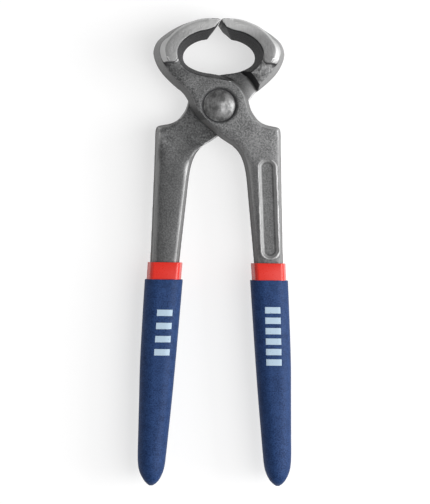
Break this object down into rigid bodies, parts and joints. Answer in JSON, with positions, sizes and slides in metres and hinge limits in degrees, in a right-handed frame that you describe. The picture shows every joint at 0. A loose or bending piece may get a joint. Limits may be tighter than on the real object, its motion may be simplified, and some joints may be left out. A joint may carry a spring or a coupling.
{
  "type": "end cutting nippers",
  "caption": "Hand nippers with crossed forged halves, rounded cutting jaws, one domed rivet and sleeved handles with soft grips.",
  "frame": {"origin": "centre of the box of the closed tool, on the plane of the rear ground jaw faces", "axes": "+Y from the grips to the jaws, +X to the right seen from the front, +Z from the rear faces to the front along the rivet"},
  "size_m": [0.066, 0.2002, 0.023],
  "materials": {
    "rear_steel": "forged skin, ground on the jaw faces",
    "front_steel": "forged skin, ground on the jaw faces",
    "rivet_steel": "pressed dome, fine tooling marks",
    "sleeve_plastic": "smooth, slightly glossy",
    "grip_plastic": "fine matte grain"
  },
  "bodies": {
    "rear": {"rear_half": "rear_steel", "rivet": "rivet_steel", "rear_sleeve": "sleeve_plastic", "rear_grip": "grip_plastic"},
    "front": {"front_half": "front_steel", "front_sleeve": "sleeve_plastic", "front_grip": "grip_plastic"}
  },
  "joints": [
    {"name": "rivet_hinge", "type": "hinge", "parent": "rear", "child": "front", "pos_m": [0, 0.06245, 0.0115], "axis": [0, 0, 1], "range_deg": [0, 34]}
  ]
}
